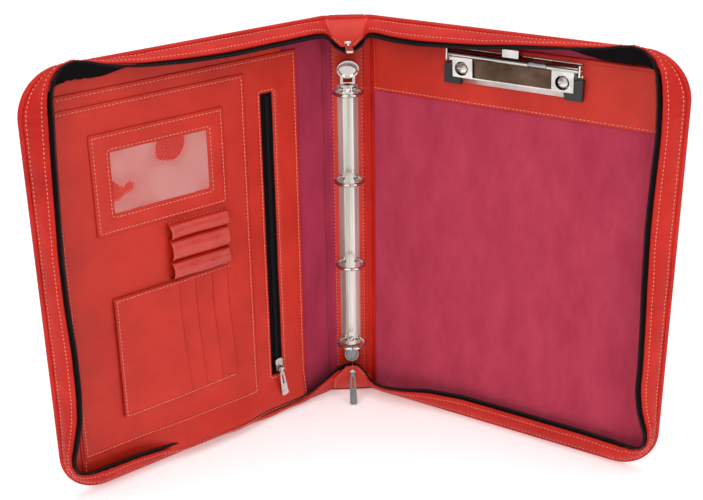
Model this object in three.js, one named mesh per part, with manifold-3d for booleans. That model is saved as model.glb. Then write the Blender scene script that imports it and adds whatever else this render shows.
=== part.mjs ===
// A zip-round A4 portfolio case, standing open on its bottom edges.
// Millimetres, +Z up. X runs across the spine, and the covers open towards -Y.
// The origin is on the ground under the middle of the spine.
import * as THREE from "three";
import { mergeVertices } from "three/addons/utils/BufferGeometryUtils.js";
import Module from "manifold-3d";

const wasm = await Module();
wasm.setup();

// Driving dimensions of the case
const HEIGHT = 360;
const COVER_WIDTH = 280; // from the hinge line to the fore-edge
const HINGE_X = 20; // half of the distance between the two hinge lines
const OPEN_ANGLE = THREE.MathUtils.degToRad(54.25); // each cover, from fully closed
const CORNER_RADIUS = 38;
const PANEL_CORNER = 24;
const HINGE_GAP = 1.5; // bare fold of leather beside each hinge line
const GAP = 0.3; // air between neighbouring pieces

// Layers of a cover, as depths measured from the hinge plane towards the inside
const SKIN = [-3.2, -2];
const BOARD = [-1.7, 1.2];
const LINING = [1.5, 2.3];
const SHEET = 1.2; // thickness of a leather panel
const FIRST_PANEL = [LINING[1] + GAP, LINING[1] + GAP + SHEET];
const SECOND_PANEL = [FIRST_PANEL[1] + GAP, FIRST_PANEL[1] + GAP + SHEET];

// Gusset wall round three sides of each cover
const WALL_INSET = 2.2;
const WALL_START = 26; // distance of the wall's ends from the hinge line
const WALL_LEATHER = [2, 19];
const WALL_TAPE = [9, 23.3];
const WALL_TEETH = [23.6, 25.6];
const WALL_STEPS = 84;
const SHORT_END = 60; // stretch over which the wall grows to its full height
// Lean of the wall towards the inside, in degrees, at fractions of the way round
const LEFT_LEAN = [
  [0, 40], [0.13, 18], [0.24, 10], [0.295, -8], [0.36, 34], [0.5, 38],
  [0.64, 36], [0.705, 2], [0.8, 34], [1, 42],
];
const RIGHT_LEAN = [
  [0, 40], [0.13, 18], [0.24, 8], [0.295, -6], [0.36, 29], [0.5, 32],
  [0.64, 38], [0.705, 4], [0.82, 56], [1, 46],
];

// Ring mechanism
const RING_MIDDLE = 177;
const RING_PITCH = 80;
const RING_HEIGHTS = [1.5, 0.5, -0.5, -1.5].map((n) => RING_MIDDLE + n * RING_PITCH);
const RING_RADIUS = 12;
const RING_WIRE = 1.5;
const RING_ROOT_X = 6;
const RAIL_HALF = 9;
const RAIL_RISE = 4.8;
const RAIL_SKIN = 0.8;
const RAIL_BACK = -2.4;
const RAIL_ENDS = [51, 301];
const BLADE = { inner: 0.2, outer: 6.6, front: -3.4, back: -2.6 };
const RING_ROOT_Y = BLADE.front - 1.2;

// Materials
const finish = (color, roughness, metalness = 0) =>
  new THREE.MeshStandardMaterial({ color, roughness, metalness });
const redLeather = finish(0xc4302a, 0.45);
const suede = finish(0xa8304f, 0.95);
const greyBoard = finish(0x9a938a, 0.9);
const blackTape = finish(0x15151a, 0.85);
const blackTeeth = finish(0x1d1d22, 0.45);
const chrome = finish(0xd9d9d6, 0.12, 1);
const springSteel = finish(0x9b9b98, 0.35, 1);
const blackRubber = finish(0x17171a, 0.55);
const clearFilm = finish(0xd98a84, 0.12);

// Turns a drawn shape into a (u, z) sheet, or into a (depth, z) section
const sheetPlane = new THREE.Matrix4().makeRotationX(Math.PI / 2);
const sectionPlane = new THREE.Matrix4().makeBasis(
  new THREE.Vector3(0, 1, 0),
  new THREE.Vector3(0, 0, 1),
  new THREE.Vector3(1, 0, 0),
);

function named(name, geometry, material) {
  const mesh = new THREE.Mesh(geometry, material);
  mesh.name = name;
  return mesh;
}

function extrude(shape, depth, curveSegments = 6) {
  return new THREE.ExtrudeGeometry(shape, { depth, bevelEnabled: false, curveSegments });
}

// A flat sheet whose outline is in (u, z), between two depths
function sheet(shape, [low, high]) {
  return extrude(shape, high - low).translate(0, 0, -high).applyMatrix4(sheetPlane);
}

// A bar along u whose section is in (depth, z)
function bar(section, from, to) {
  return extrude(section, to - from).translate(0, 0, from).applyMatrix4(sectionPlane);
}

function box([x0, x1], [y0, y1], [z0, z1]) {
  return new THREE.BoxGeometry(x1 - x0, y1 - y0, z1 - z0).translate(
    (x0 + x1) / 2,
    (y0 + y1) / 2,
    (z0 + z1) / 2,
  );
}

function polygon(points) {
  return new THREE.Shape(points.map(([x, y]) => new THREE.Vector2(x, y)));
}

function rectangle(u0, u1, z0, z1) {
  return polygon([[u0, z0], [u1, z0], [u1, z1], [u0, z1]]);
}

// A rectangle whose two far corners are rounded
function softRectangle(u0, u1, z0, z1, radius) {
  const shape = new THREE.Shape();
  shape.moveTo(u0, z0);
  shape.lineTo(u1 - radius, z0);
  shape.absarc(u1 - radius, z0 + radius, radius, -Math.PI / 2, 0);
  shape.lineTo(u1, z1 - radius);
  shape.absarc(u1 - radius, z1 - radius, radius, 0, Math.PI / 2);
  shape.lineTo(u0, z1);
  return shape;
}

// Joining and cutting closed geometries
function solid(geometry) {
  const bare = geometry.index ? geometry.toNonIndexed() : geometry.clone();
  bare.deleteAttribute("normal");
  bare.deleteAttribute("uv");
  const merged = mergeVertices(bare, 1e-4);
  return new wasm.Manifold(
    new wasm.Mesh({
      numProp: 3,
      vertProperties: merged.attributes.position.array,
      triVerts: new Uint32Array(merged.index.array),
    }),
  );
}

function surface(manifold) {
  const mesh = manifold.getMesh();
  const geometry = new THREE.BufferGeometry();
  geometry.setAttribute("position", new THREE.BufferAttribute(mesh.vertProperties, 3));
  geometry.setIndex(new THREE.BufferAttribute(mesh.triVerts, 1));
  return geometry;
}

function joined(...pieces) {
  return surface(pieces.map(solid).reduce((whole, piece) => whole.add(piece)));
}

function cut(body, ...tools) {
  return surface(tools.map(solid).reduce((rest, tool) => rest.subtract(tool), solid(body)));
}

// A cylinder along u in the cover's frame
function rod(radius, from, to, depth, z, sides = 12) {
  return new THREE.CylinderGeometry(radius, radius, to - from, sides)
    .rotateZ(-Math.PI / 2)
    .translate((from + to) / 2, depth, z);
}

// ---------- gusset walls ----------

function wallPath() {
  const top = HEIGHT - WALL_INSET;
  const turn = COVER_WIDTH - CORNER_RADIUS;
  const radius = CORNER_RADIUS - WALL_INSET;
  const path = new THREE.Path();
  path.moveTo(WALL_START, top);
  path.lineTo(turn, top);
  path.absarc(turn, HEIGHT - CORNER_RADIUS, radius, Math.PI / 2, 0, true);
  path.lineTo(COVER_WIDTH - WALL_INSET, CORNER_RADIUS);
  path.absarc(turn, CORNER_RADIUS, radius, 0, -Math.PI / 2, true);
  path.lineTo(WALL_START, WALL_INSET);
  return path;
}

function leanAt(leans, along) {
  const next = Math.max(1, leans.findIndex(([place]) => place >= along));
  const [a, leanA] = leans[next - 1];
  const [b, leanB] = leans[next];
  const t = THREE.MathUtils.smoothstep(along, a, b);
  return THREE.MathUtils.degToRad(leanA + (leanB - leanA) * t);
}

// A ribbon of the wall: from one slant height to another, between two offsets inwards
function wallRibbon(leans, [low, high], [outer, inner]) {
  const path = wallPath();
  const length = path.getLength();
  const strip = new THREE.BoxGeometry(1, 1, 1, WALL_STEPS, 1, 1);
  const corners = strip.attributes.position;
  for (let i = 0; i < corners.count; i++) {
    const along = THREE.MathUtils.clamp(corners.getX(i) + 0.5, 0, 1);
    const spot = path.getPointAt(along);
    const tangent = path.getTangentAt(along);
    const inward = new THREE.Vector2(tangent.y, -tangent.x);
    const lean = leanAt(leans, along);
    const fromEnd = Math.min(along, 1 - along) * length;
    const growth = 0.8 + 0.2 * THREE.MathUtils.smoothstep(fromEnd, 0, SHORT_END);
    const up = (corners.getZ(i) > 0 ? high : low) * growth;
    const across = corners.getY(i) > 0 ? inner : outer;
    const shift = up * Math.sin(lean) + across * Math.cos(lean);
    const depth = FIRST_PANEL[0] + up * Math.cos(lean) - across * Math.sin(lean);
    corners.setXYZ(i, spot.x + inward.x * shift, depth, spot.y + inward.y * shift);
  }
  return strip;
}

// ---------- the two covers ----------

function coverOutline(inset, nearEdge = HINGE_GAP) {
  const far = CORNER_RADIUS - inset;
  return softRectangle(nearEdge, COVER_WIDTH - inset, inset, HEIGHT - inset, far);
}

function coverPieces(side, leans) {
  return [
    named(`${side}_cover_leather`, sheet(coverOutline(0), SKIN), redLeather),
    named(`${side}_cover_board`, sheet(coverOutline(3, 4), BOARD), greyBoard),
    named(`${side}_cover_lining`, sheet(coverOutline(1.5), LINING), suede),
    named(`${side}_gusset`, wallRibbon(leans, WALL_LEATHER, [0, 1.3]), redLeather),
    named(`${side}_zip_tape`, wallRibbon(leans, WALL_TAPE, [2.6, 3.2]), blackTape),
    named(`${side}_zip_teeth`, wallRibbon(leans, WALL_TEETH, [1.9, 3.9]), blackTeeth),
  ];
}

// Left pieces are built in (u, depth, z); the right cover is the mirror image
function coverGroup(side) {
  const cover = new THREE.Group();
  cover.position.x = -HINGE_X;
  cover.rotation.z = -(Math.PI / 2 + OPEN_ANGLE);
  const half = new THREE.Group();
  half.add(cover);
  if (side === "right") half.scale.x = -1;
  return { half, cover };
}

// ---------- organiser on the left cover ----------

const ZIP_SLOT = { from: 58, to: 70, low: 42, high: 306 };
const CARD_EDGES = [112, 128, 145, 161]; // near edges of the stepped pockets
const LOOP_SEAMS = [167.5, 184, 203, 217];

function organiserPanel() {
  const shape = softRectangle(32, 266, 7, 338, PANEL_CORNER);
  shape.holes.push(rectangle(ZIP_SLOT.from, ZIP_SLOT.to, ZIP_SLOT.low, ZIP_SLOT.high));
  return named("organiser_panel", sheet(shape, FIRST_PANEL), redLeather);
}

function pocketPanel() {
  return named("pocket_panel", sheet(rectangle(86, 264, 31, 327), SECOND_PANEL), redLeather);
}

function idPocket() {
  const film = [SECOND_PANEL[1] + GAP, SECOND_PANEL[1] + GAP + 0.3];
  const frame = [film[1] + GAP, film[1] + GAP + 1];
  const border = rectangle(109, 230, 221, 304);
  border.holes.push(rectangle(125.5, 213, 237.5, 287.5));
  return [
    named("id_window", sheet(rectangle(120, 218, 232, 293), film), clearFilm),
    named("id_frame", sheet(border, frame), redLeather),
  ];
}

// A flat-bottomed tube for one pen, open at both ends
function penLoop(index) {
  const [low, high] = [LOOP_SEAMS[index] + 0.2, LOOP_SEAMS[index + 1] - 0.2];
  const floor = SECOND_PANEL[1] + GAP;
  const skin = 0.9;
  const middle = (low + high) / 2;
  const half = (high - low) / 2;
  const rise = 9.4;
  const outer = new THREE.Shape();
  outer.moveTo(floor, low);
  outer.absellipse(floor + skin, middle, rise - skin, half, -Math.PI / 2, Math.PI / 2);
  outer.lineTo(floor, high);
  const hole = new THREE.Path();
  hole.absellipse(floor + skin, middle, rise - 2 * skin, half - skin, -Math.PI / 2, Math.PI / 2);
  outer.holes.push(hole);
  return named(`pen_loop_${index + 1}`, bar(outer, 112, 168), redLeather);
}

function cardPockets() {
  const step = 1;
  return CARD_EDGES.map((edge, i) => {
    const low = SECOND_PANEL[1] + GAP + i * step;
    const outline = rectangle(edge, 222, 58, 166);
    return named(`card_pocket_${i + 1}`, sheet(outline, [low, low + step - GAP]), redLeather);
  });
}

// ---------- sliders and pulls ----------

// A slider in its own frame: it runs along Z, its face looks along +Y, and its
// pull turns on a cross pin along X at the origin
const PIN_RADIUS = 0.6;
const SLIDER = { tail: -2, nose: 10, waist: 3, cheek: 4, face: -2.2 };
const LUG = { x: 2.3, half: 0.45, y: [-2.6, 0.9], z: [-1.2, 1.6] };
function sliderBody(backDepth) {
  const { tail, nose, waist, cheek, face } = SLIDER;
  const shoulder = nose - 3;
  const plate = new THREE.Shape();
  plate.moveTo(-waist, tail);
  plate.lineTo(waist, tail);
  plate.lineTo(cheek, shoulder);
  plate.quadraticCurveTo(cheek, nose, 0, nose);
  plate.quadraticCurveTo(-cheek, nose, -cheek, shoulder);
  const base = sheet(plate, [-backDepth, face]);
  const lug = (x) => box([x - LUG.half, x + LUG.half], LUG.y, LUG.z);
  return joined(base, lug(-LUG.x), lug(LUG.x), rod(PIN_RADIUS, -LUG.x, LUG.x, 0, 0, 8));
}

// A pull that hangs along -Z from the same pin: an eye, a neck, a slotted blade and a lip
const PULL = { eye: 2, eyeHalf: 1.5, tip: 3.5, thick: 0.8, slotHalf: 0.8, slotTop: -6, slotShare: 0.55 };
const PULL_NECK = [[1.3, -1.5], [2.1, -5], [2.6, -9]]; // half width and height, down from the eye
const PULL_GROOVE = { rise: [5, 8], deep: 0.4 };
function pullTab(length) {
  const outline = new THREE.Shape();
  PULL_NECK.forEach(([half, z], i) => (i ? outline.lineTo(-half, z) : outline.moveTo(-half, z)));
  outline.lineTo(-PULL.tip, 2 - length);
  outline.quadraticCurveTo(0.1 - PULL.tip, -length, 0, -length);
  outline.quadraticCurveTo(PULL.tip - 0.1, -length, PULL.tip, 2 - length);
  [...PULL_NECK].reverse().forEach(([half, z]) => outline.lineTo(half, z));
  const { slotHalf, slotTop, slotShare, thick } = PULL;
  outline.holes.push(rectangle(-slotHalf, slotHalf, -length * slotShare, slotTop));
  const blade = sheet(outline, [-thick, thick]);
  const eye = rod(PULL.eye, -PULL.eyeHalf, PULL.eyeHalf, 0, 0, 12);
  const bore = rod(PIN_RADIUS + 0.35, -PULL.eye, PULL.eye, 0, 0, 8);
  const grooveRun = PULL_GROOVE.rise.map((rise) => rise - length);
  return cut(joined(blade, eye), bore, box([-4, 4], [PULL_GROOVE.deep, 1], grooveRun));
}

// The two main sliders, each with its pull, at the points where the zip's halves meet on the
// spine. The pull of the top one points forward, and the tip of the bottom one rests on the ground
const MAIN_PULL = 31.5;
const TOP_SLIDER = { y: -18.6, z: 340.6, tilt: 35.6, pull: 90 };
const BOTTOM_SLIDER = { y: -18.5, z: 29.5, tilt: -25.7, pull: 23.4 };

function mainSlider(end, { y, z, tilt, pull }) {
  const slider = named(`slider_${end}`, sliderBody(5), chrome);
  slider.rotation.x = THREE.MathUtils.degToRad(tilt);
  if (end === "bottom") slider.scale.z = -1;
  const tab = named(`slider_pull_${end}`, pullTab(MAIN_PULL), chrome);
  tab.rotation.x = THREE.MathUtils.degToRad(pull);
  const group = new THREE.Group();
  group.position.set(0, y, z);
  group.rotation.z = Math.PI;
  group.add(slider, tab);
  return group;
}

const INNER_SLIDER = { u: 64, depth: 9.5, z: 49 };
const INNER_PULL = 28;
const INNER_PULL_SWING = THREE.MathUtils.degToRad(8);

function innerZip() {
  const slotMiddle = (ZIP_SLOT.from + ZIP_SLOT.to) / 2;
  const tape = rectangle(
    ZIP_SLOT.from + 0.6,
    ZIP_SLOT.to - 0.6,
    ZIP_SLOT.low + 1,
    ZIP_SLOT.high - 1,
  );
  const teeth = rectangle(
    slotMiddle - 1.5,
    slotMiddle + 1.5,
    ZIP_SLOT.low + 2,
    ZIP_SLOT.high - 2,
  );
  const slider = named("inner_zip_slider", sliderBody(4.5), chrome);
  const pull = named("inner_zip_pull", pullTab(INNER_PULL), chrome);
  pull.rotation.y = INNER_PULL_SWING;
  for (const piece of [slider, pull])
    piece.position.set(INNER_SLIDER.u, INNER_SLIDER.depth, INNER_SLIDER.z);
  return [
    named("inner_zip_tape", sheet(tape, [FIRST_PANEL[0], FIRST_PANEL[0] + 0.6]), blackTape),
    named("inner_zip_teeth", sheet(teeth, [FIRST_PANEL[1] - 0.3, FIRST_PANEL[1] + 0.8]), blackTeeth),
    slider,
    pull,
  ];
}

// ---------- clipboard clip on the right cover ----------

const CLIP = {
  ends: [77.5, 198],
  base: [FIRST_PANEL[1] + GAP, FIRST_PANEL[1] + GAP + 1],
  pivot: { depth: 9.2, z: 339 },
  pin: 1,
  screws: [[93, 327.5], [181, 327.5]],
  plate: [316, 343], // from its lower edge to its upper one
  ear: 1.2, // thickness of the plate's turned-up ends
  roll: 2.7,
  drop: 19, // from the pin to the lip
  spring: { from: 152.5, to: 167.5, radius: 2.5 },
  tab: [129, 143],
};

function clipBase() {
  const [from, to] = [CLIP.ends[0] + 2, CLIP.ends[1] - 2];
  const { pivot, pin, base, ear } = CLIP;
  const [low, high] = CLIP.plate;
  const earSection = () => {
    const shape = rectangle(base[0], pivot.depth + 2.4, high - 9, high);
    const hole = new THREE.Path();
    hole.absarc(pivot.depth, pivot.z, pin + GAP, 0, 2 * Math.PI);
    shape.holes.push(hole);
    return shape;
  };
  return joined(
    sheet(rectangle(from, to, low, high), base),
    bar(earSection(), from, from + ear),
    bar(earSection(), to - ear, to),
  );
}

// The sprung jaw: a rolled top edge round the pin, a sloping face, a gripping lip and a thumb tab
function clipJaw() {
  const { depth, z } = CLIP.pivot;
  const { drop, spring, pin } = CLIP;
  const [from, to] = [CLIP.ends[0] + 4, CLIP.ends[1] - 4];
  const foot = CLIP.base[1]; // the lip comes down to the plate
  const faceSection = polygon([
    [depth + 1.5, z - 1], [depth + 0.2, z - drop], [depth - 0.8, z - drop], [depth + 0.4, z - 1],
  ]);
  const lipSection = polygon([
    [depth + 0.2, z - drop + 0.4], [foot + 1.6, z - drop - 4.6], [foot + 0.4, z - drop - 4.6],
    [depth - 0.9, z - drop + 0.2],
  ]);
  const jaw = joined(
    rod(CLIP.roll, from, to, depth, z, 16),
    bar(faceSection, from + 3.5, to - 3.5),
    bar(lipSection, from + 12, to - 12),
    box(CLIP.tab, [depth - 0.6, depth + 0.6], [z + 2, z + 9]),
  );
  const screwRoom = CLIP.screws.map(([u, at]) =>
    new THREE.CylinderGeometry(6, 6, 20, 16).translate(u, depth, at),
  );
  const pinHole = rod(pin + GAP, from - 1, to + 1, depth, z, 12);
  const [left, right] = [spring.from - 0.5, spring.to + 0.5];
  const springRoom = box([left, right], [depth - 4, depth + 4], [z - 3.2, z + 4]);
  return cut(jaw, pinHole, springRoom, ...screwRoom);
}

// The rubber corners are L shapes, seen from the front
const CLIP_CORNER = { foot: 15, arm: 6.6, low: 314.5, step: 319.8, top: 331, thick: 5 };
function clipCorner(end) {
  const s = end === "near" ? 1 : -1;
  const edge = end === "near" ? CLIP.ends[0] : CLIP.ends[1];
  const { foot, arm, low, step, top, thick } = CLIP_CORNER;
  const outline = polygon([
    [edge, low], [edge + s * foot, low], [edge + s * foot, step],
    [edge + s * arm, step], [edge + s * arm, top], [edge, top],
  ]);
  const depths = [CLIP.base[1] + GAP, CLIP.base[1] + thick];
  return named(`clip_corner_${end}`, sheet(outline, depths), blackRubber);
}

function clipScrew(index) {
  const [u, z] = CLIP.screws[index];
  const low = CLIP.base[1] + GAP;
  const dome = [[0, 0], [2.2, 0], [2.2, 1.6], [5, 1.6], [4.6, 3.2], [3, 4.6], [0, 5.2]];
  const head = new THREE.LatheGeometry(dome.map(([x, y]) => new THREE.Vector2(x, y)), 16);
  const slot = box([-6, 6], [4, 7], [-0.6, 0.6]);
  return named(`clip_screw_${index + 1}`, cut(head, slot).translate(u, low, z), chrome);
}

function clipSpring() {
  const { depth, z } = CLIP.pivot;
  const { from, to, radius } = CLIP.spring;
  const bore = rod(CLIP.pin + GAP, from - 2, to + 2, depth, z, 12);
  const coil = cut(rod(radius, from, to, depth, z, 12), bore);
  return named("clip_spring", coil, springSteel);
}

function clipPieces() {
  const { depth, z } = CLIP.pivot;
  const pin = rod(CLIP.pin, CLIP.ends[0] + 1, CLIP.ends[1] - 1, depth, z, 12);
  const base = [named("clip_base", clipBase(), chrome), named("clip_pin", pin, chrome)];
  const moving = [
    named("clip_jaw", clipJaw(), chrome),
    clipCorner("near"),
    clipCorner("far"),
  ];
  return [...base, ...moving, clipSpring(), clipScrew(0), clipScrew(1)];
}

// ---------- spine ----------

// The leather flap that closes an end of the spine, sloping in to the zip's slider. Its slope is
// given as distances from the top edge: forward from near to far, and down from near to deep
const END_SLOPES = {
  top: { near: 1.8, far: 8.4, deep: 11.2 },
  bottom: { near: 1.8, far: 9.5, deep: 21 },
};
const END_FLAP = { wide: 16.8, narrow: 6, skin: 1.3, front: -2 };
function spineEnd(end) {
  const { near, far, deep } = END_SLOPES[end];
  const { wide, narrow, skin, front } = END_FLAP;
  const run = Math.hypot(far - near, deep - near);
  const flap = polygon([[-wide, 0], [wide, 0], [narrow, run], [-narrow, run]]);
  const geometry = extrude(flap, skin)
    .rotateX(Math.PI + Math.atan2(deep - near, far - near))
    .translate(0, front - near, HEIGHT - near);
  const flapMesh = named(`spine_end_${end}`, geometry, redLeather);
  if (end === "bottom") {
    flapMesh.scale.z = -1;
    flapMesh.position.z = HEIGHT;
  }
  return flapMesh;
}

function spinePieces() {
  const half = HINGE_X - HINGE_GAP;
  return [
    named("spine_leather", box([-half, half], [1.7, 3], [0, HEIGHT]), redLeather),
    named("spine_board", box([-half + 1, half - 1], [-0.5, 1.4], [3, HEIGHT - 3]), greyBoard),
    named("spine_lining", box([-17.3, 17.3], [-2.1, -0.8], [1.5, HEIGHT - 1.5]), redLeather),
  ];
}

// ---------- ring mechanism ----------

function railSection(inset) {
  const half = RAIL_HALF - inset;
  const shape = [];
  for (let i = 0; i <= 8; i++) {
    const x = half * (1 - i / 4);
    shape.push([x, RAIL_BACK - (RAIL_RISE - inset) * (1 - (x / half) ** 2)]);
  }
  return shape;
}

function ringRail() {
  const [low, high] = RAIL_ENDS;
  const outer = railSection(0);
  const inner = railSection(RAIL_SKIN).reverse();
  const shell = extrude(polygon([...outer, ...inner]), high - low).translate(0, 0, low);
  const slots = RING_HEIGHTS.flatMap((z) =>
    [-1, 1].map((s) => box([s * 6 - 2.2, s * 6 + 2.2], [-9, -3], [z - 2, z + 2])),
  );
  return named("ring_rail", cut(shell, ...slots), chrome);
}

function ringBlade(side) {
  const s = side === "left" ? -1 : 1;
  const across = [s * BLADE.inner, s * BLADE.outer].sort((a, b) => a - b);
  const along = [RAIL_ENDS[0] + 4, RAIL_ENDS[1] - 4];
  return named(`ring_blade_${side}`, box(across, [BLADE.front, BLADE.back], along), springSteel);
}

class RingArc extends THREE.Curve {
  constructor(side, z) {
    super();
    this.side = side;
    this.z = z;
  }
  getPoint(t, target = new THREE.Vector3()) {
    const root = Math.asin(RING_ROOT_X / RING_RADIUS);
    const closing = Math.PI - 0.02;
    const angle = root + (closing - root) * t;
    const centre = RING_ROOT_Y - RING_RADIUS * Math.cos(root);
    return target.set(
      this.side * RING_RADIUS * Math.sin(angle),
      centre + RING_RADIUS * Math.cos(angle),
      this.z,
    );
  }
}

function ringHalf(side, index) {
  const s = side === "left" ? -1 : 1;
  const wire = new THREE.Shape().absarc(0, 0, RING_WIRE, 0, 2 * Math.PI);
  const geometry = new THREE.ExtrudeGeometry(wire, {
    steps: 10,
    curveSegments: 8,
    bevelEnabled: false,
    extrudePath: new RingArc(s, RING_HEIGHTS[index]),
  });
  return named(`ring_${index + 1}_${side}`, geometry, chrome);
}

// A trigger in its own frame: it stands along Z from a pivot along X, and faces -Y
const TRIGGER_SKIN = 0.8;
const TRIGGER_RIM = { proud: 1.2, crest: 1.4, dish: 2.2 }; // raised edge round the dished pad
function trigger(padRadius, padRise, legs) {
  const { proud, crest, dish } = TRIGGER_RIM;
  const profile = [
    [0, -TRIGGER_SKIN], [padRadius, -TRIGGER_SKIN], [padRadius, proud], [padRadius - crest, proud],
    [padRadius - dish, 0.3], [0, 0.3],
  ];
  const pad = new THREE.LatheGeometry(profile.map(([x, y]) => new THREE.Vector2(x, y)), 20)
    .rotateX(Math.PI)
    .translate(0, 0, padRise);
  const half = 1.2;
  const legTop = padRise - padRadius + 3;
  const leg = (x) => box([x - half, x + half], [-TRIGGER_SKIN, TRIGGER_SKIN], [-half, legTop]);
  const foot = box([-legs, legs], [-0.6, TRIGGER_SKIN], [-half, TRIGGER_SKIN]);
  return joined(pad, leg(-legs), leg(legs), foot);
}

const TRIGGER_LEAN = THREE.MathUtils.degToRad(24);
const TRIGGER_PIVOT_Y = -5.6;
const TRIGGER_REACH = 2.2; // from an end of the rail to the pivot
function triggers() {
  const [low, high] = RAIL_ENDS;
  const top = named("trigger_top", trigger(9.5, 15, 5.2), chrome);
  top.position.set(0, TRIGGER_PIVOT_Y, high + TRIGGER_REACH);
  top.rotation.x = TRIGGER_LEAN;
  const bottom = named("trigger_bottom", trigger(6.6, 7.4, 4.6), chrome);
  bottom.position.set(0, TRIGGER_PIVOT_Y, low - TRIGGER_REACH);
  bottom.rotation.x = -TRIGGER_LEAN;
  bottom.scale.z = -1;
  return { top, bottom };
}

function railRivet(end, z) {
  const profile = [[0, 0], [2.6, 0], [2.3, 0.7], [1.3, 1.2], [0, 1.3]];
  const head = new THREE.LatheGeometry(profile.map(([x, y]) => new THREE.Vector2(x, y)), 14);
  head.rotateX(Math.PI).translate(0, RAIL_BACK - RAIL_RISE - GAP, z);
  return named(`rail_rivet_${end}`, head, chrome);
}

// ---------- assembly ----------

const portfolioCase = new THREE.Group();
portfolioCase.add(...spinePieces());
portfolioCase.add(spineEnd("top"), spineEnd("bottom"));
portfolioCase.add(mainSlider("top", TOP_SLIDER), mainSlider("bottom", BOTTOM_SLIDER));
portfolioCase.add(ringRail(), ringBlade("left"), ringBlade("right"));
for (const side of ["left", "right"])
  RING_HEIGHTS.forEach((_, index) => portfolioCase.add(ringHalf(side, index)));
const { top, bottom } = triggers();
portfolioCase.add(top, bottom);
portfolioCase.add(railRivet("top", RING_HEIGHTS[0] - 0.5), railRivet("bottom", RING_HEIGHTS[3] + 0.5));

const left = coverGroup("left");
left.cover.add(...coverPieces("left", LEFT_LEAN));
left.cover.add(organiserPanel(), pocketPanel(), ...idPocket(), ...cardPockets(), ...innerZip());
for (let i = 0; i < LOOP_SEAMS.length - 1; i++) left.cover.add(penLoop(i));
const right = coverGroup("right");
right.cover.add(...coverPieces("right", RIGHT_LEAN));
const band = softRectangle(5, 266, 296, 347, PANEL_CORNER);
right.cover.add(named("right_top_band", sheet(band, FIRST_PANEL), redLeather), ...clipPieces());
portfolioCase.add(left.half, right.half);

export default portfolioCase;
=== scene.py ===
"""The looks of a zip-round leather portfolio case, standing open on its bottom edges.

Every piece is worked out in the frame of one cover: s runs along the case from the hinge line
(negative on the spine), d is the depth towards the inside and z is the height, in millimetres.
"""
import math

import bpy
import numpy as np
from mathutils import Matrix, Vector


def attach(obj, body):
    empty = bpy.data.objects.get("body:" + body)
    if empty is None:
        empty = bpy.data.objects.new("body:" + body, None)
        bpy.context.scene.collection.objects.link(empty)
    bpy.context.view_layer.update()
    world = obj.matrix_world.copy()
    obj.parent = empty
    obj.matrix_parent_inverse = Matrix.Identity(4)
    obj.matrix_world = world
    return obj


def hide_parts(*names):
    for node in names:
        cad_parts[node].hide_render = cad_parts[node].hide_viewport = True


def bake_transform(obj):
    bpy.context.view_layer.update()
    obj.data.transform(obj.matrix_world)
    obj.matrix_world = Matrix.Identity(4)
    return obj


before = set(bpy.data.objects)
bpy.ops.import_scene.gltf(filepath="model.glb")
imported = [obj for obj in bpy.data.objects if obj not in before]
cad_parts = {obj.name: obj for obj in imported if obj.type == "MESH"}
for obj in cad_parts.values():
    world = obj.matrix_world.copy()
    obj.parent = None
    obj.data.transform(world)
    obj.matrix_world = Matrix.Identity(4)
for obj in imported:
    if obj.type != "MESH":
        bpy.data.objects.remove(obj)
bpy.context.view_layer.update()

MM = 0.001

# ---------- driving dimensions, in millimetres ----------

HEIGHT = 360.0
COVER = 280.0                # from the hinge line to the fore-edge
HINGE_X = 20.0               # from the middle of the spine to a hinge line
OPEN = math.radians(54.25)   # angle of each cover from closed
CORNER = 38.0                # corner radius of a cover
PANEL_CORNER = 5.0           # corner radius of the panels inside
BACK = -3.2                  # depth of the outer face
LINING = 2.3                 # depth of the lining's face
PANEL_A = 4.0                # depth of the face of the first layer of panels
PANEL_B = 5.3                # depth of the face of the second layer
WALL_INSET = 2.2             # the gusset wall stands this far inside the outline
WALL_BASE = 2.6              # depth of the foot of the wall
HINGE_BEND = 5.0             # the leather turns over this length on both sides of a hinge line
SPINE_MIDDLE = -HINGE_X
STITCH_PITCH = 3.4
PANEL_EDGE = 1.2             # thickness of a panel's turned edge
RING_HEIGHTS = [297.0, 217.0, 137.0, 57.0]

SIDES = {"left": -1, "right": 1}


# ---------- places ----------

def smooth(x, low, high):
    t = np.clip((np.asarray(x, float) - low) / (high - low), 0, 1)
    return t * t * (3 - 2 * t)


def bump(x, middle, width):
    return np.exp(-(((np.asarray(x, float) - middle) / width) ** 2))


def place(side, s, d, z):
    """The point at s, d, z of a side, in metres: on the cover, on the spine or round the hinge."""
    s, d, z = np.broadcast_arrays(np.asarray(s, float), np.asarray(d, float), np.asarray(z, float))
    on_cover = (
        -HINGE_X - s * math.sin(OPEN) + d * math.cos(OPEN),
        -s * math.cos(OPEN) - d * math.sin(OPEN),
    )
    on_spine = (-HINGE_X - s, -d)
    turn = smooth(s, -HINGE_BEND, HINGE_BEND)
    x, y = (a + (b - a) * turn for a, b in zip(on_spine, on_cover))
    return np.stack([x * -SIDES[side], y, z], axis=-1) * MM


def lengths(line):
    """The length along a polyline at each of its points."""
    return np.concatenate([[0], np.cumsum(np.linalg.norm(np.diff(line, axis=0), axis=1))])


def unit(vectors):
    return vectors / np.linalg.norm(vectors, axis=1)[:, None]


def ripple(a, b, seed, scale=1.0):
    """Soft unevenness between about -1 and 1, the same on every run."""
    a, b = np.asarray(a, float) / scale, np.asarray(b, float) / scale
    rng = np.random.default_rng(seed)
    total = np.zeros(np.broadcast(a, b).shape)
    for n in range(7):
        fa, fb = rng.normal(0, 0.05 + 0.03 * n, 2)
        total += math.pow(0.8, n) * np.sin(fa * a + fb * b + rng.uniform(0, 6.28))
    return total / 3.2


# ---------- meshes ----------

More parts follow.
